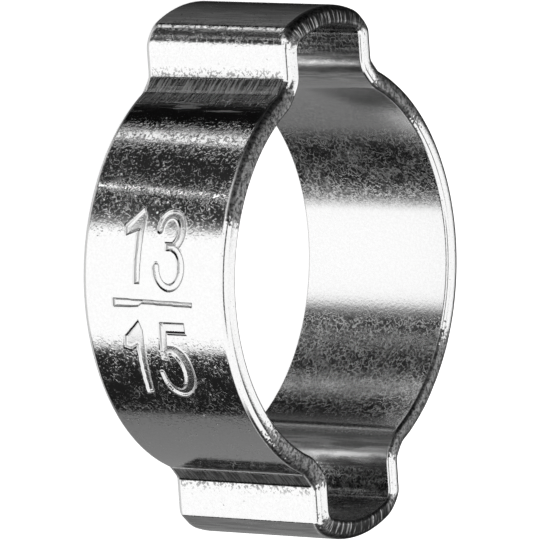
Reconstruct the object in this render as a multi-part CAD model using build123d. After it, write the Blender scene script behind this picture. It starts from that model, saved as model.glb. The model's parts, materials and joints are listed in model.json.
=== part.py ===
from build123d import *

import os
from math import atan2, degrees, sqrt

# Two-ear hose clamp for 13 to 15 mm hoses. A strip of steel is bent into a seamless ring with
# a hollow ear on each side. Pinching an ear's legs together draws the ring tight on the hose.
#
# Frame: the hose runs along Z and the lower rim lies on Z = 0. The ears point along -X and +X.

# Driving dimensions, in millimetres. A bend radius is measured on the inside of its bend.
bore_diameter = 15.0        # open ring, round the largest hose
band_width = 6.9            # along the hose
band_thickness = 0.8        # the same all round, ears included
ear_gap = 4.36              # clear width inside an ear, between its legs
ear_rise = 2.43             # crown of an ear above the ring's outer surface
neck_bend_radius = 0.9      # from the ring up into a leg, on the outer surface
corner_bend_radius = 0.45   # from a leg into the crown, on the hollow side
crown_bend_radius = 5.2     # shallow arch over the ear, on the hollow side
outer_edge_radius = 0.3     # die roll along both outer edges, left when the strip is cut
inner_edge_radius = 0.1     # both inner edges, only just broken


# Section of the band, seen along the hose. Every bend is an arc that runs smoothly into the
# next stretch, and the outer and inner surfaces share the centres of their arcs.
ring_radius = bore_diameter / 2 + band_thickness
leg_outside = ear_gap / 2 + band_thickness

neck_reach = ring_radius + neck_bend_radius
neck_side = leg_outside + neck_bend_radius
neck_centre = Vector(sqrt(neck_reach**2 - neck_side**2), neck_side)
neck_angle = degrees(atan2(neck_centre.Y, neck_centre.X))

corner_radius = corner_bend_radius + band_thickness
crown_radius = crown_bend_radius + band_thickness
crown_centre = Vector(ring_radius + ear_rise - crown_radius, 0)
corner_side = leg_outside - corner_radius
corner_reach = sqrt((crown_radius - corner_radius) ** 2 - corner_side**2)
corner_centre = Vector(crown_centre.X + corner_reach, corner_side)
corner_angle = degrees(atan2(corner_side, corner_reach))


def ear_leg(depth):
    """One leg of the ear at +X: the neck bend, the straight leg and the corner bend."""
    side = leg_outside - depth
    neck = CenterArc(neck_centre, neck_bend_radius + depth, 180 + neck_angle, 90 - neck_angle)
    leg = Line((neck_centre.X, side), (corner_centre.X, side))
    corner = CenterArc(corner_centre, corner_radius - depth, corner_angle, 90 - corner_angle)
    return [neck, leg, corner]


def half_outline(depth):
    """The ear at +X and the half of the ring on its left, `depth` inside the outer surface."""
    near_leg = ear_leg(depth)
    far_leg = [mirror(edge, about=Plane.XZ) for edge in near_leg]
    crown = CenterArc(crown_centre, crown_radius - depth, -corner_angle, 2 * corner_angle)
    ring = CenterArc((0, 0), ring_radius - depth, neck_angle, 180 - 2 * neck_angle)
    return far_leg + [crown] + near_leg + [ring]


def band_face(depth):
    """Everything inside the closed outline that lies `depth` inside the outer surface."""
    half = half_outline(depth)
    other_half = [Rotation(0, 0, 180) * edge for edge in half]
    return make_face(half + other_half)


def make_clamp_band():
    """The whole clamp, one piece of steel with its cut edges rounded."""
    section = band_face(0) - band_face(band_thickness)
    band = extrude(section, band_width)
    outer_edges = [rim.outer_wire().edges() for rim in band.faces().filter_by(Plane.XY)]
    band = fillet(ShapeList(sum(outer_edges, [])), outer_edge_radius)
    inner_edges = [rim.inner_wires().edges() for rim in band.faces().filter_by(Plane.XY)]
    band = fillet(ShapeList(sum(inner_edges, [])), inner_edge_radius)
    return band


os.makedirs("parts", exist_ok=True)
export_step(make_clamp_band(), "parts/clamp_band.step")
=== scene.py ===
import json
from math import asin, atan2, cos, pi, radians, sin, sqrt
from typing import NamedTuple

import bpy
import numpy as np
from mathutils import Matrix, Vector


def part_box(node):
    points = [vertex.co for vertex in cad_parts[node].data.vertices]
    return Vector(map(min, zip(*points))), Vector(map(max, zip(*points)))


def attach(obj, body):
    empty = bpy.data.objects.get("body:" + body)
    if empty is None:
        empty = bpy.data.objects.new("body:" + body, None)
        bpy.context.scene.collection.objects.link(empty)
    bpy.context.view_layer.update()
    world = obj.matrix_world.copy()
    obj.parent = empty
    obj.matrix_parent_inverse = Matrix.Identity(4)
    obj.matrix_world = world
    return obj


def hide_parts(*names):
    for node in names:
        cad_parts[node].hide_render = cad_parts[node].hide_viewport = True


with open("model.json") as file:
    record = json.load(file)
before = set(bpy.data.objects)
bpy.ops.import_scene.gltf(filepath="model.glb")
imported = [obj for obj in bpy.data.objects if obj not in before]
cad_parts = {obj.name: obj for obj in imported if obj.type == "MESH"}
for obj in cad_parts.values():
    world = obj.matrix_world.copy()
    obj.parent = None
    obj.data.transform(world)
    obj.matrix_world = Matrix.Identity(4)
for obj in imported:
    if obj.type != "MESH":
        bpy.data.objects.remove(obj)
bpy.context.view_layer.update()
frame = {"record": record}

# ---------------------------------------------------------------- sizes, in metres
MM = 0.001
node_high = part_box("clamp_band")[1]
mounts = {mount["name"]: mount for mount in frame["record"]["mounts"]}

BAND_WIDTH = node_high.z
RING_RADIUS = node_high.y
EAR_TOP = node_high.x
THICKNESS = RING_RADIUS - mounts["hose"]["dims"]["r_mm"] * MM
EAR_HALF_GAP = 2.18 * MM
CREASE_BEND = 0.25 * MM     # where an ear's leg ends
CREASE_TURN = radians(40)
FACET_LENGTH = 0.6 * MM     # the nearly flat middle of a neck, between its two tight bends
FACET_TURN = radians(6)
FOOT_BEND = 0.35 * MM       # where a neck meets the ring
CORNER_BEND = 0.45 * MM
CROWN_BEND = 5.2 * MM
OUTER_EDGE = 0.3 * MM
CROWN_EDGE = 0.42 * MM      # the outer edge's rounding on the ears' crowns
INNER_EDGE = 0.18 * MM
LOWER_INNER_EDGE = 0.1 * MM
LEG_STEP = 0.15 * MM
RING_STEP = 0.2 * MM

# The numerals lie on a patch of finer faces round the middle of the face that looks along -Y.
PATCH_HALF_LENGTH = 4.2 * MM
PATCH_LOW = 1.3 * MM
PATCH_HIGH = 5.6 * MM
PATCH_MARGIN = 0.12 * MM
PATCH_STEP = 0.028 * MM
GROOVE_DEPTH = 0.062 * MM
GROOVE_WALL = 0.08 * MM
WALL_ROUNDNESS = 0.3        # 0 is a straight slope
FLOOR_HALF_WIDTH = 0.17 * MM
FLOOR_DISH = 0.018 * MM
LIP_HEIGHT = 0.012 * MM     # metal that the punch pushed up round each stroke
LIP_WIDTH = 0.05 * MM
SLOPE_REACH = 0.004 * MM    # how far to each side a slope is measured

# Heights of the outer face's rows of vertices, and how many rows the inner face has.
LEVELS = np.concatenate([[0.7 * MM], np.linspace(PATCH_LOW, PATCH_HIGH, 14), [5.9 * MM, 6.2 * MM]])
INNER_ROWS = 12


# ---------------------------------------------------------------- outline of the outer surface
# A line is an array with a row for each place on the outline: x, y, the angle of the outward
# normal and, once the outline is whole, the distance along it.
def bend(centre, radius, first, last, step, outside=False):
    """Places on an arc, its end left out. An outside bend has its centre on the outer side of the
    strip, as a neck has."""
    count = max(1, round(abs(last - first) / step))
    t = np.linspace(first, last, count, endpoint=False)
    reach = -radius if outside else radius
    return np.stack([centre[0] + reach * np.cos(t), centre[1] + reach * np.sin(t), t], 1)


def half_ear():
    """The upper half of the ear at +X, from the middle of its crown to the ring, and the normal
    angle at which the ring takes over."""
    crown = EAR_TOP - CROWN_BEND - THICKNESS
    corner_side = EAR_HALF_GAP - CORNER_BEND
    corner_reach = CROWN_BEND - CORNER_BEND
    corner_angle = asin(corner_side / corner_reach)
    corner = (crown + corner_reach * cos(corner_angle), corner_side)
    leg_side = EAR_HALF_GAP + THICKNESS
    # the neck is a tight crease where the leg ends, a nearly flat facet, and a tight foot that
    # meets the ring; the three arcs run smoothly into each other, and the foot touches the ring
    facet_start = pi / 2 - CREASE_TURN
    facet_end = facet_start - FACET_TURN
    facet_bend = FACET_LENGTH / FACET_TURN
    crease_side = leg_side + CREASE_BEND
    facet_side = crease_side + (facet_bend - CREASE_BEND) * sin(facet_start)
    foot_side = facet_side - (facet_bend - FOOT_BEND) * sin(facet_end)
    foot_x = sqrt((RING_RADIUS + FOOT_BEND) ** 2 - foot_side**2)
    facet_x = foot_x + (facet_bend - FOOT_BEND) * cos(facet_end)
    crease = (facet_x - (facet_bend - CREASE_BEND) * cos(facet_start), crease_side)
    facet = (facet_x, facet_side)
    foot = (foot_x, foot_side)
    ring_angle = atan2(foot_side, foot_x)
    leg_steps = max(2, round((corner[0] - crease[0]) / LEG_STEP))
    leg_x = np.linspace(corner[0], crease[0], leg_steps, endpoint=False)
    leg = np.stack([leg_x, np.full(leg_steps, leg_side), np.full(leg_steps, pi / 2)], 1)
    rows = np.concatenate([
        bend((crown, 0), CROWN_BEND + THICKNESS, 0, corner_angle, step=radians(1.2)),
        bend(corner, CORNER_BEND + THICKNESS, corner_angle, pi / 2, step=radians(1.5)),
        leg,
        bend(crease, CREASE_BEND, pi / 2, facet_start, step=radians(5), outside=True),
        bend(facet, facet_bend, facet_start, facet_end, step=radians(1), outside=True),
        bend(foot, FOOT_BEND, facet_end, ring_angle, step=radians(3), outside=True),
    ])
    return rows, ring_angle


def ring_part(first, last):
    """Places on the ring between two normal angles, the end left out."""
    return bend((0, 0), RING_RADIUS, first, last, step=RING_STEP / RING_RADIUS)


def outline():
    """The whole outer outline from the middle of the numbered face, turning towards +X. Distances
    count from the start, and those on the second half are less than zero, so that both sides of
    the numbered face count from its middle."""
    upper_half, ring_angle = half_ear()
    lower_half = upper_half[::-1] * [1, -1, -1]
    ring_end = [[RING_RADIUS * cos(ring_angle), -RING_RADIUS * sin(ring_angle), -ring_angle]]
    right_ear = np.concatenate([ring_end, lower_half, upper_half[1:]])
    left_ear = right_ear * [-1, -1, 1] + [0, 0, pi]
    patch_angle = PATCH_HALF_LENGTH / RING_RADIUS
    numbered = 1.5 * pi     # the normal's angle in the middle of the numbered face
    rows = np.concatenate([
        ring_part(numbered - 2 * pi, numbered - 2 * pi + patch_angle),
        ring_part(numbered - 2 * pi + patch_angle, -ring_angle),
        right_ear,
        ring_part(ring_angle, pi - ring_angle),
        left_ear,
        ring_part(pi + ring_angle, numbered - patch_angle),
        ring_part(numbered - patch_angle, numbered),
    ])
    steps = np.hypot(*np.diff(np.vstack([rows, rows[:1]])[:, :2], axis=0).T)
    along = np.concatenate([[0], np.cumsum(steps)[:-1]])
    total = steps.sum()
    along = np.where(along > total / 2, along - total, along)
    return np.column_stack([rows, along])


# ---------------------------------------------------------------- marks of the press tool
class Ridge(NamedTuple):
    """A ridge along a corner bend of the outer surface, where the tool's edge stood. Its place
    and its reach are turns of the bend from the leg, in degrees."""
    x_side: int
    y_side: int
    place: float
    reach_to_leg: float
    reach_to_crown: float
    height: float


RIDGES = [
    Ridge(x_side=1, y_side=-1, place=21, reach_to_leg=21, reach_to_crown=27, height=0.089 * MM),
    Ridge(x_side=-1, y_side=-1, place=56, reach_to_leg=14, reach_to_crown=12, height=0.014 * MM),
]


def ridges(line):
    """Height of the ridges over the outer surface, and how much they turn its normal."""
    x, y, normal = line[:, :3].T
    height = np.zeros(len(line))
    for ridge in RIDGES:
        from_leg = np.degrees(np.arcsin(np.clip(ridge.x_side * np.cos(normal), -1, 1)))
        reach = np.where(from_leg < ridge.place, ridge.reach_to_leg, ridge.reach_to_crown)
        on_bend = (x * ridge.x_side > RING_RADIUS) & (y * ridge.y_side > 0)
        height += on_bend * ridge.height * np.clip(1 - np.abs(from_leg - ridge.place) / reach, 0, 1) ** 2
    step = np.hypot(np.roll(x, -1) - np.roll(x, 1), np.roll(y, -1) - np.roll(y, 1))
    slope = (np.roll(height, -1) - np.roll(height, 1)) / step
    return height, -np.arctan(slope)


# How much lower each ear's crown stands than the solid's, at the lower rim and at the upper rim,
# and how much it slopes across: by the sign of x at the ear.
EAR_SETTLED = {-1: (0.065 * MM, 0.163 * MM, 0.0), 1: (0.02 * MM, 0.02 * MM, 0.02)}
SETTLES_FROM = 8.4 * MM
SETTLES_OVER = 1.6 * MM


def settle(points, normals):
    """Lower both ears' crowns a little, each by its own amount."""
    for side, (low_drop, high_drop, slope) in EAR_SETTLED.items():
        x, y, z = points[:, 0] * side, points[:, 1], points[:, 2]
        share = np.clip((x - SETTLES_FROM) / SETTLES_OVER, 0, 1)
        weight = share * share * (3 - 2 * share)
        weight_slope = 6 * share * (1 - share) / SETTLES_OVER
        drop = low_drop + (high_drop - low_drop) * z / BAND_WIDTH - slope * y
        # the drop's own slopes turn the normals
        along_x = -drop * weight_slope
        along_y = side * slope * weight
        along_z = -side * (high_drop - low_drop) / BAND_WIDTH * weight
        pull = normals[:, 0] / (1 + along_x)
        normals = normals - np.stack([along_x * pull, along_y * pull, along_z * pull], 1)
        points = points - np.stack([side * drop * weight, 0 * x, 0 * x], 1)
    return points, normals / np.linalg.norm(normals, axis=1, keepdims=True)


# How much the numbered face twists from one rim to the other, in degrees, by x in mm. It is so
# slight that only the normals have it.
TWIST = [(-7.2, 0), (-5.6, 2.4), (-4.3, 2.8), (-2.1, 1.0), (1.7, 0.65), (4.7, -1.1), (7.2, 0)]


def twist(x, y, z):
    """How much the outer surface's normal is turned at a place."""
    return -np.radians(np.interp(x / MM, *zip(*TWIST))) * (z / BAND_WIDTH - 0.5) * (y < 0)


# ---------------------------------------------------------------- numerals
# Strokes are in mm: u runs along the hose from mid-width, and v round the face from its middle,
# upwards as the numerals are read.
def distance_to_side(u, v, start, end):
    """Distance from the nearest point of a straight line between two points."""
    run_u, run_v = end[0] - start[0], end[1] - start[1]
    share = ((u - start[0]) * run_u + (v - start[1]) * run_v) / (run_u * run_u + run_v * run_v)
    share = np.clip(share, 0, 1)
    return np.hypot(u - start[0] - share * run_u, v - start[1] - share * run_v)


def box_stroke(u, v, start, end, half):
    """Distance outside a straight stroke with square ends; less than zero within it."""
    run_u, run_v = end[0] - start[0], end[1] - start[1]
    length = sqrt(run_u * run_u + run_v * run_v)
    along = ((u - start[0]) * run_u + (v - start[1]) * run_v) / length
    across = np.abs((u - start[0]) * run_v - (v - start[1]) * run_u) / length
    return np.maximum(across - half, np.abs(along - length / 2) - length / 2)


def corner_shape(u, v, corners):
    """Distance outside a closed shape with straight sides; less than zero within it."""
    nearest = np.full(u.shape, np.inf)
    inside = np.zeros(u.shape, bool)
    for start, end in zip(corners, corners[1:] + corners[:1]):
        nearest = np.minimum(nearest, distance_to_side(u, v, start, end))
        if start[1] != end[1]:
            # the side is crossed on the way to the far left: inside after an odd number of these
            crossing = (start[1] > v) != (end[1] > v)
            side_u = start[0] + (v - start[1]) * (end[0] - start[0]) / (end[1] - start[1])
            inside ^= crossing & (u < side_u)
    return np.where(inside, -nearest, nearest)


CURVE_POINTS = 40


def curved_stroke(u, v, centre, radii, first, last, half):
    """Distance outside a stroke along part of an ellipse. Angles are in degrees, and half lists
    the stroke's half width at even steps from its first end to its last."""
    t = np.radians(np.linspace(first, last, CURVE_POINTS))
    points = np.stack([centre[0] + radii[0] * np.cos(t), centre[1] + radii[1] * np.sin(t)], 1)
    shares = np.linspace(0, 1, CURVE_POINTS)
    widths = np.interp(shares, np.linspace(0, 1, len(half)), half)
    nearest = np.full(u.shape, np.inf)
    for start, end, width in zip(points, points[1:], widths):
        nearest = np.minimum(nearest, distance_to_side(u, v, start, end) - width)
    return nearest


def numeral_distance(u, v):
    """Distance outside the nearest stroke; less than zero within it."""
    upper_one = corner_shape(u, v, [
        (-0.66, 3.74), (-1.43, 3.01), (-1.38, 2.62), (-0.83, 2.83), (-0.88, 0.75), (-0.61, 0.75),
        (-0.5, 3.44),
    ])
    lower_one = corner_shape(u, v, [
        (-0.79, -0.63), (-1.54, -1.31), (-1.63, -1.78), (-1.36, -1.86), (-1.04, -1.7),
        (-1.18, -3.83), (-0.87, -3.77), (-0.63, -1.1),
    ])
    bar = corner_shape(u, v, [
        (-1.92, 0.2), (-1.92, -0.17), (-0.75, -0.15), (-0.55, -0.02), (1.83, -0.1), (1.85, 0.11),
    ])
    three_top = curved_stroke(u, v, (0.76, 2.86), (0.53, 0.68), 178, -52, (0.15, 0.17, 0.17))
    three_foot = curved_stroke(u, v, (0.76, 1.43), (0.59, 0.78), 70, -182, (0.15, 0.17, 0.16))
    three_middle = box_stroke(u, v, (0.58, 2.22), (1.02, 2.22), 0.14)
    five_stem = corner_shape(u, v, [(0.19, -0.72), (0.02, -2.26), (0.3, -2.3), (0.5, -1.0)])
    five_top = box_stroke(u, v, (0.22, -0.93), (1.38, -0.93), 0.22)
    bowl_widths = (0.16, 0.25, 0.24, 0.14, 0.08)
    five_bowl = curved_stroke(u, v, (0.5, -2.8), (0.63, 0.93), 122, -176, bowl_widths)
    return np.minimum.reduce([
        upper_one, lower_one, bar, three_top, three_foot, three_middle, five_stem, five_top, five_bowl,
    ])


def groove(along, height):
    """Depth of the numerals below the face, with steep walls and a slightly dished floor, and
    the height of the lip round them, which only turns the normals, as it is so slight."""
    within = -numeral_distance((height - BAND_WIDTH / 2) / MM, -along / MM) * MM
    wall = np.clip(within / GROOVE_WALL, 0, 1)
    rounded_wall = wall * wall * (3 - 2 * wall)
    wall = (1 - WALL_ROUNDNESS) * wall + WALL_ROUNDNESS * rounded_wall
    dish = 1 - (1 - np.clip(within / FLOOR_HALF_WIDTH, 0, 1)) ** 2
    lip = np.exp(-((np.minimum(within, 0) / LIP_WIDTH) ** 2)) * (1 - wall)
    return GROOVE_DEPTH * wall + FLOOR_DISH * dish, LIP_HEIGHT * lip


# ---------------------------------------------------------------- section across the strip
# Where the sheared rim is broken and dull, from 0 to 1, by x in mm: on the side with the
# numerals and on the other.
BROKEN_NUMBERED = [
    (-10.2, 0.7), (-9.6, 0.1), (-8.0, 0), (-7.6, 0.85), (-3.9, 0.8), (-2.9, 0), (4.8, 0), (6.4, 0.5),
    (8.0, 0.5), (8.3, 0), (9.6, 0.1), (10.2, 0.7),
]
BROKEN_PLAIN = [
    (-10.2, 0.7), (-9.6, 0.1), (-7.8, 0), (-7.3, 0.7), (-6.4, 0.6), (-4.8, 0), (3.2, 0), (5.4, 0.8),
    (7.8, 0.9), (8.2, 0), (9.6, 0.1), (10.2, 0.7),
]
# How far the upper rim leans outwards in degrees: everywhere, more where it is broken, and more
# on the crowns. On the broken parts it also waves: by how many degrees, how fast along the
# outline and from where.
RIM_LEAN = 2.5
BROKEN_LEAN = 5
CROWN_LEAN = 9
BROKEN_WAVES = [(1.0, 1900, 0.0), (0.7, 4300, 1.3), (0.5, 9100, 0.0)]
LOWER_RIM_LEAN = radians(3)
RIM_BULGE = radians(7)      # how far the rim's surface turns to each side of its lean
CROWN_FROM = 9.4 * MM
CROWN_FADE = 0.6 * MM
OUTER_EDGE_ROWS = 11
INNER_EDGE_ROWS = 7
RIM_ROWS = 6
LOWER, UPPER = -1, 1


def rim_broken(line):
    x = line[:, 0] / MM
    numbered = np.interp(x, *zip(*BROKEN_NUMBERED))
    plain = np.interp(x, *zip(*BROKEN_PLAIN))
    return np.where(line[:, 1] < 0, numbered, plain)


def on_crown(line):
    """1 on the ears' crowns and 0 elsewhere, fading between."""
    return np.clip((np.abs(line[:, 0]) - CROWN_FROM) / CROWN_FADE, 0, 1)


def rim_lean(line):
    """How far the upper rim leans outwards at each place, as shearing and bending leave it."""
    wave = sum(size * np.sin(line[:, 3] * speed + start) for size, speed, start in BROKEN_WAVES)
    return np.radians(RIM_LEAN + (BROKEN_LEAN + wave) * rim_broken(line) + CROWN_LEAN * on_crown(line))


def outer_edge(line):
    """Radius of the outer edge's rounding at each place: larger on the ears' crowns."""
    return OUTER_EDGE + (CROWN_EDGE - OUTER_EDGE) * on_crown(line)


def edge_rows(lean, outer_radius, inner_radius, side):
    """The rounded outer edge, the rim and the rounded inner edge for each lean and outer radius:
    arrays of depth below the outer surface, height, and the normal's outward and upward parts."""
    outer_radius = outer_radius[:, None]
    lean = lean[:, None]
    flat = THICKNESS - inner_radius - outer_radius
    inner_centre = BAND_WIDTH - inner_radius
    outer_centre = BAND_WIDTH - outer_radius - np.tan(lean) * flat
    first = pi / 2 - lean - RIM_BULGE
    last = pi / 2 - lean + RIM_BULGE
    angle = first * np.linspace(0, 1, OUTER_EDGE_ROWS)[None, :]
    outer = [outer_radius - outer_radius * np.cos(angle), outer_centre + outer_radius * np.sin(angle),
             np.cos(angle), np.sin(angle)]
    angle = last + (pi - last) * np.linspace(0, 1, INNER_EDGE_ROWS)[None, :]
    inner = [THICKNESS - inner_radius - inner_radius * np.cos(angle),
             inner_centre + inner_radius * np.sin(angle), np.cos(angle), np.sin(angle)]
    # the rim itself bulges slightly between the two roundings
    start_depth, start_height = outer[0][:, -1:], outer[1][:, -1:]
    end_depth, end_height = inner[0][:, :1], inner[1][:, :1]
    share = np.linspace(0, 1, RIM_ROWS + 2)[None, 1:-1]
    run = end_depth - start_depth
    rise = end_height - start_height
    slope_in = np.tan(lean + RIM_BULGE) * run
    slope_out = np.tan(lean - RIM_BULGE) * run
    square = 3 * rise - 2 * slope_in - slope_out
    cube = slope_in + slope_out - 2 * rise
    rim_height = start_height + slope_in * share + square * share**2 + cube * share**3
    slope = (slope_in + 2 * square * share + 3 * cube * share**2) / run
    size = np.sqrt(1 + slope**2)
    rim = [start_depth + run * share, rim_height, slope / size, 1 / size]
    depth, height, out, up = (np.concatenate(parts, 1) for parts in zip(outer, rim, inner))
    # nothing stands above the band's own width
    height = height - np.maximum(height.max(1, keepdims=True) - BAND_WIDTH, 0)
    if side == LOWER:
        return depth[:, ::-1], BAND_WIDTH - height[:, ::-1], out[:, ::-1], -up[:, ::-1]
    return depth, height, out, up


def strip_sections(line):
    """The strip's section at every place on the outline, from the lower edge of the outer face,
    over the upper rim, down inside and back: depth, height, outward and upward normal parts."""
    count = len(line)
    upper = edge_rows(rim_lean(line), outer_edge(line), INNER_EDGE, UPPER)
    lower = edge_rows(np.full(count, LOWER_RIM_LEAN), outer_edge(line), LOWER_INNER_EDGE, LOWER)
    face_height = np.repeat(LEVELS[None, :], count, 0)
    ones = np.ones_like(face_height)
    face = [ones * 0, face_height, ones, ones * 0]
    share = np.linspace(0, 1, INNER_ROWS + 2)[None, 1:-1]
    inside_height = upper[1][:, -1:] + (lower[1][:, :1] - upper[1][:, -1:]) * share
    ones = np.ones_like(inside_height)
    inside = [ones * THICKNESS, inside_height, -ones, ones * 0]
    return [np.concatenate(parts, 1) for parts in zip(face, upper, inside, lower)]


# ---------------------------------------------------------------- the band's mesh
# The kinds of face, and the outward parts of the normal beyond which a face is no cut edge.
OUTER_FACE, CUT_EDGE, INNER_FACE = range(3)
OUTER_LIMIT = 0.995
INNER_LIMIT = -0.9


def band_vertices(line, depth, height, out, up):
    """Points and normals of the whole band, one row of its grid for each place on the outline."""
    normal = np.stack([np.cos(line[:, 2]), np.sin(line[:, 2])], 1)
    # the ridges stand on the outer surface and fade through the thickness
    ridge, ridge_turn = ridges(line)
    outer_share = 1 - depth / THICKNESS
    inwards = depth - ridge[:, None] * outer_share
    xy = line[:, None, :2] - inwards[:, :, None] * normal[:, None, :]
    points = np.concatenate([xy, height[:, :, None]], 2).reshape(-1, 3)
    turn = ridge_turn[:, None] + twist(line[:, None, 0], line[:, None, 1], height)
    turned = line[:, None, 2] + turn * outer_share
    normals = np.stack([np.cos(turned) * out, np.sin(turned) * out, up], 2).reshape(-1, 3)
    return settle(points, normals)


def grid_quads(first, second, second_count, wraps=None):
    """Four vertex numbers for each cell of a grid, from the numbers of its first corner. A grid
    that wraps closes on itself both ways, and wraps gives its size."""
    next_first, next_second = first + 1, second + 1
    if wraps:
        next_first = next_first % wraps[0]
        next_second = next_second % wraps[1]
    corners = [(first, second), (next_first, second), (next_first, next_second), (first, next_second)]
    return np.stack([a * second_count + b for a, b in corners], 2)


def band_faces(out, hole):
    """Faces of the band outside the patch's hole, and the kind of each."""
    count_along, count_across = out.shape
    i, j = np.meshgrid(np.arange(count_along), np.arange(count_across), indexing="ij")
    quads = grid_quads(i, j, count_across, wraps=out.shape)
    next_out = np.roll(out, (-1, -1), (0, 1))
    kinds = np.full(out.shape, CUT_EDGE)
    kinds[np.minimum(out, next_out) > OUTER_LIMIT] = OUTER_FACE
    kinds[np.maximum(out, next_out) < INNER_LIMIT] = INNER_FACE
    first_column, last_column, low_row, high_row = hole
    in_hole = ((i < last_column) | (i >= first_column)) & (j >= low_row) & (j < high_row)
    return quads[~in_hole].tolist(), kinds[~in_hole].tolist()


def nearest_index(values, wanted):
    return int(np.argmin(np.abs(values - wanted)))


def patch_hole(line):
    """First and last column and row of the band's grid round the patch. The columns run from the
    first past the outline's start to the last."""
    first_column = nearest_index(line[:, 3], -PATCH_HALF_LENGTH)
    last_column = nearest_index(line[:, 3], PATCH_HALF_LENGTH)
    return first_column, last_column, nearest_index(LEVELS, PATCH_LOW), nearest_index(LEVELS, PATCH_HIGH)


def patch_places():
    """Distance along the outline and height of each vertex of the patch's own grid."""
    def evenly(first, last):
        return np.linspace(first, last, round((last - first) / PATCH_STEP) + 1)

    along = evenly(-PATCH_HALF_LENGTH + PATCH_MARGIN, PATCH_HALF_LENGTH - PATCH_MARGIN)
    height = evenly(PATCH_LOW + PATCH_MARGIN, PATCH_HIGH - PATCH_MARGIN)
    return np.meshgrid(along, height, indexing="ij")


def patch_vertices(along, height):
    """Points and normals of the patch, with the numerals recessed in it, and their depth."""
    def below(along, height):
        depth, lip = groove(along, height)
        return depth - lip

    depth = groove(along, height)[0]
    span = 2 * SLOPE_REACH
    fall_along = (below(along + SLOPE_REACH, height) - below(along - SLOPE_REACH, height)) / span
    fall_up = (below(along, height + SLOPE_REACH) - below(along, height - SLOPE_REACH)) / span
    angle = -pi / 2 + along / RING_RADIUS
    out_x, out_y = np.cos(angle), np.sin(angle)
    points = np.stack([(RING_RADIUS - depth) * out_x, (RING_RADIUS - depth) * out_y, height], 2)
    turned = angle + twist(RING_RADIUS * out_x, out_y, height)
    out_x, out_y = np.cos(turned), np.sin(turned)
    normals = np.stack([out_x - fall_along * out_y, out_y + fall_along * out_x, fall_up], 2)
    normals /= np.linalg.norm(normals, axis=2, keepdims=True)
    return points.reshape(-1, 3), normals.reshape(-1, 3), depth.reshape(-1)


def grid_border(columns, rows, number):
    """The closed border of a grid, as pairs of a place along its four sides, from 0 to 4, and a
    vertex number."""
    sides = [
        [(column, rows[0]) for column in columns],
        [(columns[-1], row) for row in rows],
        [(column, rows[-1]) for column in reversed(columns)],
        [(columns[0], row) for row in reversed(rows)],
    ]
    loop = []
    for turn, side in enumerate(sides):
        for k, (column, row) in enumerate(side[:-1]):
            loop.append((turn + k / (len(side) - 1), number(column, row)))
    return loop + [(len(sides), loop[0][1])]


def joining_faces(outer_loop, inner_loop):
    """Triangles that fill the gap between two borders, one round the other."""
    faces = []
    outer = inner = 0
    while outer < len(outer_loop) - 1 or inner < len(inner_loop) - 1:
        outer_next = outer_loop[outer + 1][0] if outer < len(outer_loop) - 1 else np.inf
        inner_next = inner_loop[inner + 1][0] if inner < len(inner_loop) - 1 else np.inf
        if outer_next <= inner_next:
            faces.append([outer_loop[outer][1], outer_loop[outer + 1][1], inner_loop[inner][1]])
            outer += 1
        else:
            faces.append([outer_loop[outer][1], inner_loop[inner + 1][1], inner_loop[inner][1]])
            inner += 1
    return faces


def build_band():
    """The whole band as one mesh object. Its vertices also carry how far along the outline they
    are, how deep in a numeral, and how broken the rim is there, which the materials use."""
    line = outline()
    depth, height, out, up = strip_sections(line)
    count_along, count_across = depth.shape
    band_points, band_normals = band_vertices(line, depth, height, out, up)
    hole = patch_hole(line)
    faces, kinds = band_faces(out, hole)

    patch_along, patch_height = patch_places()
    patch_points, patch_normals, patch_depth = patch_vertices(patch_along, patch_height)
    patch_columns, patch_rows = patch_along.shape
    base = len(band_points)
    i, j = np.meshgrid(np.arange(patch_columns - 1), np.arange(patch_rows - 1), indexing="ij")
    faces += (base + grid_quads(i, j, patch_rows)).reshape(-1, 4).tolist()

    first_column, last_column, low_row, high_row = hole
    columns = list(range(first_column, count_along)) + list(range(last_column + 1))
    rows = list(range(low_row, high_row + 1))
    band_border = grid_border(columns, rows, lambda column, row: column * count_across + row)
    patch_border = grid_border(
        range(patch_columns), range(patch_rows), lambda column, row: base + column * patch_rows + row)
    faces += joining_faces(band_border, patch_border)
    kinds += [OUTER_FACE] * (len(faces) - len(kinds))

    points = np.concatenate([band_points, patch_points])
    normals = np.concatenate([band_normals, patch_normals])
    band_broken = np.repeat(rim_broken(line), count_across)
    attributes = {
        "along": np.concatenate([np.repeat(line[:, 3], count_across), patch_along.reshape(-1)]),
        "pressed": np.concatenate([np.zeros(base), patch_depth / GROOVE_DEPTH]),
        "broken": np.concatenate([band_broken, np.zeros(len(patch_points))]),
    }
    # vertices inside the patch's hole belong to no face and are left out
    used = np.zeros(len(points), bool)
    for face in faces:
        used[face] = True
    new_number = np.cumsum(used) - 1
    faces = [[int(new_number[vertex]) for vertex in face] for face in faces]

    mesh = bpy.data.meshes.new("zinc_band")
    mesh.from_pydata(points[used].tolist(), [], faces)
    mesh.polygons.foreach_set("use_smooth", [True] * len(mesh.polygons))
    mesh.polygons.foreach_set("material_index", kinds)
    mesh.normals_split_custom_set_from_vertices(normals[used].tolist())
    for name, values in attributes.items():
        mesh.attributes.new(name, "FLOAT", "POINT").data.foreach_set("value", values[used])
    piece = bpy.data.objects.new("zinc_band", mesh)
    bpy.context.scene.collection.objects.link(piece)
    return piece


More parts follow.
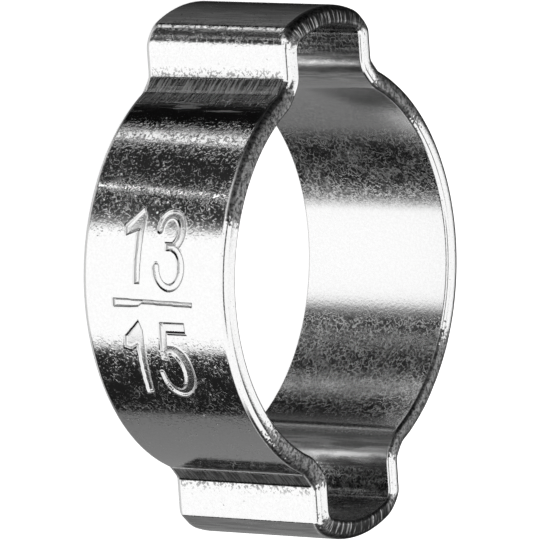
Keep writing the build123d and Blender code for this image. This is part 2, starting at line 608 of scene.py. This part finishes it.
# ---------------------------------------------------------------- node helpers
class Nodes:
    """Short spelling for a shader's nodes: a value may be a number or another node's output."""

    def __init__(self, tree):
        self.tree = tree
        tree.nodes.clear()

    def add(self, kind, inputs=None, output=0, **settings):
        node = self.tree.nodes.new(kind)
        for key, value in settings.items():
            setattr(node, key, value)
        for key, value in (inputs or {}).items():
            self.put(node.inputs[key], value)
        return node.outputs[output] if output is not None else node

    def put(self, socket, value):
        if isinstance(value, bpy.types.NodeSocket):
            self.tree.links.new(value, socket)
        else:
            socket.default_value = value

    def math(self, operation, a, b=0.0, c=0.0):
        return self.add("ShaderNodeMath", {0: a, 1: b, 2: c}, operation=operation)

    def product(self, first, *others):
        for other in others:
            first = self.math("MULTIPLY", first, other)
        return first

    def scaled(self, value, factor, offset=0.0):
        """The value times a factor, plus an offset."""
        return self.math("MULTIPLY_ADD", value, factor, offset)

    def distance(self, value, middle):
        return self.math("ABSOLUTE", self.math("SUBTRACT", value, middle))

    def ramp(self, value, low, high, at_low=0.0, at_high=1.0):
        """at_low where value is low or less, at_high where it is high or more, smooth between."""
        return self.add("ShaderNodeMapRange", {"Value": value, "From Min": low, "From Max": high,
                        "To Min": at_low, "To Max": at_high}, interpolation_type="SMOOTHSTEP")

    def between(self, value, low, high, soft):
        """1 where value lies between low and high, fading to 0 over soft on each side."""
        rise = self.ramp(value, low - soft / 2, low + soft / 2)
        fall = self.ramp(value, high - soft / 2, high + soft / 2, 1.0, 0.0)
        return self.product(rise, fall)

    def mix(self, factor, a, b):
        node = self.add("ShaderNodeMix", output=None, data_type="FLOAT")
        for index, value in ((0, factor), (2, a), (3, b)):
            self.put(node.inputs[index], value)
        return node.outputs[0]

    def noise(self, vector, scale, detail, roughness=0.5):
        return self.add("ShaderNodeTexNoise", {"Vector": vector, "Scale": scale, "Detail": detail,
                        "Roughness": roughness})

    def stretched_noise(self, first, second, scales, detail):
        """A noise over two coordinates that changes faster along one than along the other."""
        vector = self.add("ShaderNodeCombineXYZ", {0: self.product(first, scales[0]),
                          1: self.product(second, scales[1])})
        return self.noise(vector, 1.0, detail)

    def attribute(self, name):
        return self.add("ShaderNodeAttribute", output=2, attribute_name=name)

    def parts(self, vector):
        return self.add("ShaderNodeSeparateXYZ", {0: vector}, output=None).outputs


def srgb(value):
    """Linear light of a display grey from 0 to 255."""
    share = value / 255
    return share / 12.92 if share <= 0.04045 else ((share + 0.055) / 1.055) ** 2.4


# ---------------------------------------------------------------- zinc
class Finish(NamedTuple):
    """What sets one finish of the zinc apart. Noise scales count waves in a metre."""
    name: str
    smooth_rough: float     # roughness of the clean metal
    hazy_rough: float       # roughness where it is hazy
    grain_height: float
    curve_gaps: float       # how much of the curved marks is broken away
    curve_scale: float
    curve_width: float
    curve_share: float      # how dull the curved marks are
    dot_height: float
    fleck_height: float
    drawn_height: float


OUTER = Finish("bright_zinc", smooth_rough=0.06, hazy_rough=0.14, grain_height=0.0016 * MM,
               curve_gaps=0.42, curve_scale=3600, curve_width=0.045, curve_share=0.6,
               dot_height=0.010 * MM, fleck_height=0.0022 * MM, drawn_height=0.006 * MM)
EDGE = Finish("sheared_zinc", smooth_rough=0.12, hazy_rough=0.25, grain_height=0.003 * MM,
              curve_gaps=0.4, curve_scale=5200, curve_width=0.045, curve_share=0.5,
              dot_height=0.003 * MM, fleck_height=0.001 * MM, drawn_height=0.002 * MM)
INNER = Finish("inner_zinc", smooth_rough=0.18, hazy_rough=0.28, grain_height=0.004 * MM,
               curve_gaps=0.3, curve_scale=4600, curve_width=0.06, curve_share=0.5,
               dot_height=0.006 * MM, fleck_height=0.001 * MM, drawn_height=0.002 * MM)
CURVE_HEIGHT = 0.002 * MM

# Noise scales: two where the noise is stretched, for its first and its second coordinate.
FINE_SCALE = 8500
BREAK_SCALE = 2100
DOT_SCALE = 5200
HAZE_SCALE = 1300
GRAIN_SCALE = 9500
FLAKE_SCALE = 8000
DRAWN_SCALES = (8000, 500)
PRESS_SCALES = (10500, 1500)
SHEAR_SCALES = (9500, 5000)

# Stretches of the band, by distance from the middle plane between the ears. A fade runs from its
# first end to its last.
NECK = (6.6 * MM, 8.4 * MM)
RING_END = (6.95 * MM, 7.5 * MM)
PRESS_FADE = (7.95 * MM, 8.05 * MM)
LEG_FADE = (8.0 * MM, 8.16 * MM)
PITS_BEGIN_FADE = (8.0 * MM, 8.1 * MM)
PITS_END_FADE = (8.12 * MM, 8.7 * MM)
CROWN_LINES_FADE = (CROWN_FROM, 9.9 * MM)
INNER_NECK = (7.0 * MM, 8.1 * MM)
STREAK_FADE = (6.9 * MM, 7.6 * MM)
# And by x: the left ear is at -X and the right one at +X.
LEFT_NECK_PAINTED_SHADE = (-8.2 * MM, -7.5 * MM)
RIGHT_NECK_PAINTED_SHADE = (7.58 * MM, 8.12 * MM)
NECK_PAINTED_HIGHLIGHT = (7.5 * MM, 7.555 * MM)
LEFT_CORNER = (-9.9 * MM, -9.6 * MM)
PLAIN_INSIDE = (-7.6 * MM, -4.65 * MM)
LEFT_HOLLOW_PAINTED_SHADE_FADE = (-8.4 * MM, -8.0 * MM)
RIGHT_HOLLOW_PAINTED_SHADE_FADE = (8.9 * MM, 9.3 * MM)
RIGHT_FOOT_PAINTED_SHADE = (6.88 * MM, 7.28 * MM)
# The clean middle of each face, by x, and how far from it the marks begin and are full.
OUTER_MIDDLE = -0.6 * MM
OUTER_MARKS_FADE = (1.4 * MM, 2.5 * MM)
INNER_MIDDLE = 0.8 * MM
INNER_MARKS_FADE = (1.9 * MM, 2.6 * MM)
WALL_PAINTED_SHADE_FADE = (2.0 * MM, 2.8 * MM)


class Zinc(Nodes):
    """A zinc shader in the making: its roughness, the height of its fine relief and its shade.
    reach is how far a place is from the middle plane between the ears."""

    def __init__(self, finish):
        self.material = bpy.data.materials.new(finish.name)
        self.material.use_nodes = True
        super().__init__(self.material.node_tree)
        self.finish = finish
        self.place = self.add("ShaderNodeTexCoord", output=3)
        self.x, _, self.z = self.parts(self.place)
        self.reach = self.math("ABSOLUTE", self.x)
        self.along = self.attribute("along")
        self.near_ear = self.between(self.reach, *NECK, 0.6 * MM)
        self.fine = self.noise(self.place, FINE_SCALE, 2, 0.6)
        self.breaks = self.noise(self.place, BREAK_SCALE, 2)
        # lines along the hose, as the tool drew them
        self.drawn = self.stretched_noise(self.along, self.z, DRAWN_SCALES, 2)

    def roughen(self, mask, rough):
        self.rough = self.mix(mask, self.rough, rough)

    def heighten(self, mask, height):
        self.height = self.scaled(mask, height, self.height)

    def shade_by(self, mask, factor):
        """Multiply the shade by a factor where the mask is 1."""
        self.shade = self.mix(mask, self.shade, self.product(self.shade, factor))

    def cover(self, mask, shade):
        self.shade = self.mix(mask, self.shade, shade)

    def add_grain_and_marks(self, kept):
        """A fine grain all over, and thin curved marks, dots and flecks that are duller than the
        rest, where kept is 1. They fade on the necks."""
        finish = self.finish
        self.marked = self.product(self.scaled(self.near_ear, -0.8, 1.0), kept)
        # the curved marks are the contours of a noise, broken up by a second one
        curves = self.noise(self.place, finish.curve_scale, 1, 0.6)
        curve = self.ramp(self.distance(curves, 0.5), 0.0, finish.curve_width, 1.0, 0.0)
        gaps = self.ramp(self.breaks, finish.curve_gaps, finish.curve_gaps + 0.2)
        self.curve = self.product(curve, gaps, self.marked)
        cells = self.add("ShaderNodeTexVoronoi", {"Vector": self.place, "Scale": DOT_SCALE}, output=None)
        dot = self.ramp(cells.outputs["Distance"], 0.04, 0.32, 1.0, 0.0)
        choice = self.add("ShaderNodeSeparateColor", {0: cells.outputs["Color"]})
        dot = self.product(dot, self.ramp(choice, 0.6, 1.0), self.marked)
        fleck = self.product(self.ramp(self.fine, 0.52, 0.7), self.marked)

        haze = self.noise(self.place, HAZE_SCALE, 3)
        hazy = self.ramp(haze, 0.35, 0.68, finish.smooth_rough, finish.hazy_rough)
        self.rough = self.mix(self.marked, finish.smooth_rough, hazy)
        self.roughen(self.product(self.curve, finish.curve_share), 0.42)
        self.roughen(self.product(fleck, 0.6), 0.36)
        self.roughen(self.product(dot, 0.8), 0.45)

        grain = self.noise(self.place, GRAIN_SCALE, 2, 0.65)
        self.height = self.product(grain, finish.grain_height)
        self.heighten(self.curve, CURVE_HEIGHT)
        self.heighten(dot, finish.dot_height)
        self.heighten(fleck, finish.fleck_height)
        self.heighten(self.product(self.drawn, self.near_ear), finish.drawn_height)
        self.shade = self.ramp(grain, 0.36, 0.64, 0.84, 0.88)

    def finished(self):
        bump = self.add("ShaderNodeBump", {"Height": self.height, "Strength": 1.0, "Distance": 1.0})
        colour = self.add("ShaderNodeCombineColor", {0: self.shade, 1: self.shade, 2: self.shade})
        shader = self.add("ShaderNodeBsdfPrincipled", {"Base Color": colour, "Metallic": 1.0,
                          "Roughness": self.rough, "Normal": bump})
        self.add("ShaderNodeOutputMaterial", {"Surface": shader}, output=None)
        return self.material


def press_numerals(zinc, from_middle):
    """The floors of the numerals are dull from the punch, and their walls carry painted shade."""
    pressed = zinc.attribute("pressed")
    zinc.roughen(zinc.ramp(pressed, 0.85, 1.0), 0.22)
    wall = zinc.between(pressed, 0.12, 0.88, 0.2)
    # painted shade on the numerals' walls, full near the face's middle and fading away from it
    zinc.cover(zinc.product(wall, zinc.ramp(from_middle, *WALL_PAINTED_SHADE_FADE, 1.0, 0.2)), 0.42)


def press_necks(zinc):
    """The necks are dull from the press, with marks across them that end unevenly, and that run
    further up the ring at the left ear."""
    slanting = zinc.scaled(zinc.reach, -0.12, zinc.z)
    mark = zinc.stretched_noise(slanting, zinc.x, PRESS_SCALES, 1)
    run_up = zinc.scaled(zinc.math("LESS_THAN", zinc.x, 0.0), 0.3 * MM, zinc.reach)
    run_up = zinc.scaled(zinc.breaks, 0.5 * MM, run_up)
    run_up = zinc.scaled(mark, 0.3 * MM, run_up)
    before_leg = zinc.ramp(zinc.reach, *LEG_FADE, 1.0, 0.0)
    neck = zinc.product(zinc.ramp(run_up, *PRESS_FADE), before_leg)
    zinc.roughen(neck, zinc.ramp(mark, 0.35, 0.65, 0.18, 0.32))
    zinc.heighten(zinc.product(mark, neck), 0.016 * MM)
    # the marks darken the necks' colour: partly real press marks, partly painted shade in the bends
    zinc.shade_by(neck, zinc.ramp(mark, 0.4, 0.62, 0.42, 0.85))
    # drawn lines show light where the ring ends
    ring_end = zinc.between(zinc.reach, *RING_END, 0.2 * MM)
    zinc.roughen(zinc.product(ring_end, zinc.ramp(zinc.drawn, 0.54, 0.66)), 0.34)
    # painted shade darkens both necks, the right ear's the most, with a fine line along it
    zinc.shade_by(zinc.between(zinc.x, *RIGHT_NECK_PAINTED_SHADE, 0.1 * MM), 0.62)
    zinc.shade_by(zinc.between(zinc.x, *LEFT_NECK_PAINTED_SHADE, 0.1 * MM), 0.82)
    # painted highlight: the line's colour is lifted to full brightness, and the line is also rougher
    line = zinc.between(zinc.x, *NECK_PAINTED_HIGHLIGHT, 0.04 * MM)
    zinc.roughen(line, 0.6)
    zinc.cover(line, 1.0)


def pit_legs(zinc):
    """The legs are pitted where they leave the necks, and the left ear's corner is speckled."""
    leg_end = zinc.ramp(zinc.reach, *PITS_END_FADE, 1.0, 0.0)
    pitted = zinc.product(leg_end, zinc.ramp(zinc.reach, *PITS_BEGIN_FADE))
    corner = zinc.between(zinc.x, *LEFT_CORNER, 0.05 * MM)
    speckled = zinc.scaled(corner, 0.6, zinc.product(pitted, 0.85))
    pit = zinc.ramp(zinc.scaled(speckled, 0.15, zinc.fine), 0.6, 0.68)
    zinc.roughen(corner, 0.22)
    zinc.cover(zinc.product(pit, speckled), 0.2)
    zinc.heighten(zinc.product(zinc.fine, speckled), 0.003 * MM)


def line_crowns(zinc):
    """Fine lines run along the crowns."""
    crown = zinc.ramp(zinc.reach, *CROWN_LINES_FADE)
    zinc.shade_by(zinc.product(crown, zinc.ramp(zinc.drawn, 0.4, 0.62, 1.0, 0.0)), 0.72)


def outer_zinc():
    zinc = Zinc(OUTER)
    from_middle = zinc.distance(zinc.x, OUTER_MIDDLE)
    zinc.add_grain_and_marks(kept=zinc.ramp(from_middle, *OUTER_MARKS_FADE))
    press_numerals(zinc, from_middle)
    press_necks(zinc)
    pit_legs(zinc)
    line_crowns(zinc)
    return zinc.finished()


def edge_zinc():
    """The rims: broken parts are dull and dark, shear marks cross the ears' crowns, and both carry
    painted shade.
    """
    zinc = Zinc(EDGE)
    broken = zinc.attribute("broken")
    zinc.add_grain_and_marks(kept=zinc.scaled(broken, 0.9, 0.1))
    normal = zinc.add("ShaderNodeNewGeometry", output=1)
    facing_up = zinc.parts(normal)[2]
    torn = zinc.stretched_noise(zinc.along, zinc.z, SHEAR_SCALES, 1)
    crown = zinc.product(zinc.ramp(zinc.reach, *CROWN_LINES_FADE), zinc.ramp(facing_up, 0.8, 0.93))
    zinc.heighten(zinc.product(torn, crown), 0.05 * MM)
    flakes = zinc.scaled(broken, -0.9, zinc.noise(zinc.place, FLAKE_SCALE, 2))
    dull = zinc.product(zinc.ramp(flakes, 0.2, 0.34, 1.0, 0.0), zinc.ramp(facing_up, 0.1, 0.5))
    zinc.roughen(dull, 0.4)
    # painted shade: the dull rim's colour is darker on its roundings than in its flat middle
    rounding_painted_shade = zinc.ramp(facing_up, 0.86, 0.97, 0.3, 1.0)
    zinc.cover(dull, zinc.product(rounding_painted_shade, zinc.ramp(zinc.fine, 0.32, 0.68, 0.08, 0.55)))
    # the crowns' shear marks are striped in colour from near black to bright: painted shade and painted
    # glints over real marks
    zinc.cover(crown, zinc.ramp(torn, 0.49, 0.68, 0.09, 0.95))
    return zinc.finished()


def inner_zinc():
    """The inner face: curved marks show light on a darker ground, painted shade darkens it inside the
    ears, and drawn lines run along the hose."""
    zinc = Zinc(INNER)
    marked = zinc.ramp(zinc.distance(zinc.x, INNER_MIDDLE), *INNER_MARKS_FADE)
    plain = zinc.between(zinc.x, *PLAIN_INSIDE, 0.7 * MM)
    zinc.add_grain_and_marks(kept=zinc.product(marked, zinc.scaled(plain, -0.7, 1.0)))
    ground = zinc.ramp(zinc.fine, 0.35, 0.7, 0.32, 0.9)
    zinc.shade_by(zinc.marked, zinc.mix(zinc.curve, ground, 1.15))
    # painted shade: the colour darkens inside both ears' hollows
    left_ear = zinc.ramp(zinc.x, *LEFT_HOLLOW_PAINTED_SHADE_FADE, 0.5, 1.0)
    right_ear = zinc.ramp(zinc.x, *RIGHT_HOLLOW_PAINTED_SHADE_FADE, 1.0, 0.45)
    streak = zinc.ramp(zinc.drawn, 0.4, 0.64, 0.65, 1.4)
    zinc.shade = zinc.product(zinc.shade, left_ear, right_ear)
    zinc.shade_by(zinc.ramp(zinc.reach, *STREAK_FADE), streak)
    # painted shade darkens the right ear's foot, and both necks are dull
    zinc.shade_by(zinc.between(zinc.x, *RIGHT_FOOT_PAINTED_SHADE, 0.25 * MM), 0.5)
    zinc.roughen(zinc.between(zinc.reach, *INNER_NECK, 0.8 * MM), 0.3)
    return zinc.finished()


band = build_band()
for zinc_material in (outer_zinc(), edge_zinc(), inner_zinc()):
    band.data.materials.append(zinc_material)
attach(band, "root")
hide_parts("clamp_band")


# ---------------------------------------------------------------- studio
# Angles are in degrees: round the object from the numbered side (0) towards the left ear (+90),
# and up from its level. Greys are display greys from 0 to 255.
METAL_SHARE = 0.86          # the share of light that bright metal sends on
WHITE_LEVEL = 1.1
# What stands round the object below its level, as the grey that bright metal shows of it.
RING_OF_CARDS = [
    (-180, 108), (-149, 130), (-124, 122), (-80.5, 112), (-79, 24), (-46, 31), (-38.5, 52), (-36, 235),
    (-33, 252), (29, 252), (32.5, 110), (38, 50), (73, 32), (81.5, 50), (83, 245), (88, 245),
    (90, 90), (92, 8), (110, 12), (121, 100), (139, 82), (151, 64), (159, 54), (169, 40),
    (176, 12), (180, 12),
]
STRIP_FIRST, STRIP_LAST, STRIP_SOFT = 51.1, 52.4, 0.4
STRIP_GREY = 340            # brighter than white
# The floor near the object shines from below the cards, and white light comes from above them.
FLOOR_GREY = 215
FLOOR_TILT = (-62, -50)
WHITE_TILT = (-24, -12)
BACK_GAP = (-175, -158, 3)  # first and last angle, and how softly it ends
BACK_GAP_TILT = (8, 14)
FLOOR_HALF = 1.5            # half the length of the floor's sides
FLOOR_SHADE = 0.9
FLOOR_GLOW = 0.7


class Dark(NamedTuple):
    """Something dark that stands against the white: where it is, how softly it ends, its grey."""
    first: float
    last: float
    side_soft: float
    low: float
    high: float
    edge_soft: float
    grey: float


BEYOND_LEFT = Dark(first=62, last=165, side_soft=24, low=-25, high=52, edge_soft=12, grey=14)
OPERATOR = Dark(first=-26, last=46, side_soft=12, low=33, high=50, edge_soft=6, grey=60)
# These two stand on both sides alike, and run on past the back.
SKIRTING = Dark(first=65, last=200, side_soft=14, low=-14, high=20, edge_soft=10, grey=40)
BACK = Dark(first=130, last=200, side_soft=12, low=-25, high=62, edge_soft=10, grey=52)


def card_light(nodes, turn):
    """Light of the ring of cards and of the narrow strip that stands before it."""
    share = nodes.scaled(turn, 1 / 360, 0.5)
    ramp = nodes.add("ShaderNodeValToRGB", {0: share}, output=None)
    stops = ramp.color_ramp.elements
    stops.remove(stops[-1])
    for index, (angle, grey) in enumerate(RING_OF_CARDS):
        position = angle / 360 + 0.5
        stop = stops[0] if index == 0 else stops.new(position)
        stop.position = position
        level = srgb(grey) / METAL_SHARE
        stop.color = (level, level, level, 1)
    strip = nodes.between(turn, STRIP_FIRST, STRIP_LAST, STRIP_SOFT)
    return nodes.mix(strip, ramp.outputs[0], srgb(STRIP_GREY) / METAL_SHARE)


def studio_world():
    world = bpy.data.worlds.new("studio")
    world.use_nodes = True
    bpy.context.scene.world = world
    nodes = Nodes(world.node_tree)
    x, y, z = nodes.parts(nodes.add("ShaderNodeTexCoord"))
    turn = nodes.scaled(nodes.math("ARCTAN2", nodes.scaled(x, -1), nodes.scaled(y, -1)), 180 / pi)
    side = nodes.math("ABSOLUTE", turn)
    tilt = nodes.scaled(nodes.math("ARCSINE", z), 180 / pi)
    light = nodes.mix(nodes.ramp(tilt, *FLOOR_TILT), srgb(FLOOR_GREY), card_light(nodes, turn))
    light = nodes.mix(nodes.ramp(tilt, *WHITE_TILT), light, WHITE_LEVEL)

    def put_before(light, dark, angle, share=1.0):
        across = nodes.between(angle, dark.first, dark.last, dark.side_soft)
        mask = nodes.product(across, nodes.between(tilt, dark.low, dark.high, dark.edge_soft), share)
        return nodes.mix(mask, light, srgb(dark.grey))

    # a dark room beyond the left ear, a skirting, the back with a white gap in it, and the camera
    # with its operator
    back_gap = nodes.product(nodes.between(turn, *BACK_GAP), nodes.ramp(tilt, *BACK_GAP_TILT))
    light = put_before(light, BEYOND_LEFT, turn)
    light = put_before(light, SKIRTING, side)
    light = put_before(light, BACK, side, share=nodes.scaled(back_gap, -1, 1))
    light = put_before(light, OPERATOR, turn)
    # the camera itself sees plain white
    light = nodes.mix(nodes.add("ShaderNodeLightPath"), light, 1.0)
    background = nodes.add("ShaderNodeBackground", {"Color": light, "Strength": 1.0})
    nodes.add("ShaderNodeOutputWorld", {"Surface": background}, output=None)


def floor_material():
    material = bpy.data.materials.new("pale_floor")
    material.use_nodes = True
    nodes = Nodes(material.node_tree)
    diffuse = nodes.add("ShaderNodeBsdfDiffuse", {"Color": (FLOOR_SHADE, FLOOR_SHADE, FLOOR_SHADE, 1)})
    glow = nodes.add("ShaderNodeEmission", {"Color": (1, 1, 1, 1), "Strength": FLOOR_GLOW})
    lit = nodes.add("ShaderNodeAddShader", {0: diffuse, 1: glow})
    # only the camera sees the glow, which makes the floor white
    surface = nodes.add("ShaderNodeMixShader", {0: nodes.add("ShaderNodeLightPath"), 1: diffuse, 2: lit})
    nodes.add("ShaderNodeOutputMaterial", {"Surface": surface}, output=None)
    return material


def studio_floor():
    mesh = bpy.data.meshes.new("floor")
    corners = [(-1, -1), (1, -1), (1, 1), (-1, 1)]
    mesh.from_pydata([(x * FLOOR_HALF, y * FLOOR_HALF, 0) for x, y in corners], [], [(0, 1, 2, 3)])
    mesh.materials.append(floor_material())
    floor = bpy.data.objects.new("floor", mesh)
    bpy.context.scene.collection.objects.link(floor)
    floor.visible_glossy = False
    floor.visible_shadow = False


LAMP_PLACE = Vector((0.05, 0.05, 0.7))
LAMP_SIZE = 0.9
LAMP_ENERGY = 0.3


def key_light():
    """A soft lamp above, which leaves the object's shadow on the floor."""
    data = bpy.data.lights.new("key", "AREA")
    data.shape = "DISK"
    data.size = LAMP_SIZE
    data.energy = LAMP_ENERGY
    lamp = bpy.data.objects.new("key", data)
    lamp.location = LAMP_PLACE
    lamp.rotation_euler = LAMP_PLACE.to_track_quat("Z", "Y").to_euler()
    lamp.visible_glossy = False
    bpy.context.scene.collection.objects.link(lamp)


# ---------------------------------------------------------------- camera
CAMERA_AZIMUTH = radians(-10.74)
CAMERA_ELEVATION = radians(34.51)
CAMERA_ROLL = radians(-92.19)
CAMERA_DISTANCE = 0.2585
CAMERA_LENS = 433.6
# how far the object's middle lies from the picture's, to the right and up
AIM_RIGHT = 0.1416 * MM
AIM_UP = 0.047 * MM


def add_camera():
    """The camera looks down on the object, turned so that the left ear is at the picture's top."""
    data = bpy.data.cameras.new("camera")
    data.lens = CAMERA_LENS
    data.clip_start = 0.005
    data.clip_end = 20
    camera = bpy.data.objects.new("camera", data)
    bpy.context.scene.collection.objects.link(camera)
    bpy.context.scene.camera = camera
    level = cos(CAMERA_ELEVATION)
    back = Vector((sin(CAMERA_AZIMUTH) * level, -cos(CAMERA_AZIMUTH) * level, sin(CAMERA_ELEVATION)))
    level_right = Vector((cos(CAMERA_AZIMUTH), sin(CAMERA_AZIMUTH), 0))
    level_up = back.cross(level_right)
    up = level_up * cos(CAMERA_ROLL) + level_right * sin(CAMERA_ROLL)
    right = up.cross(back)
    target = Vector((0, 0, BAND_WIDTH / 2)) - right * AIM_RIGHT - up * AIM_UP
    turned = Matrix((right, up, back)).transposed().to_4x4()
    camera.matrix_world = Matrix.Translation(target + back * CAMERA_DISTANCE) @ turned


studio_world()
studio_floor()
key_light()
add_camera()

settings = bpy.context.scene.view_settings
settings.view_transform = "Standard"
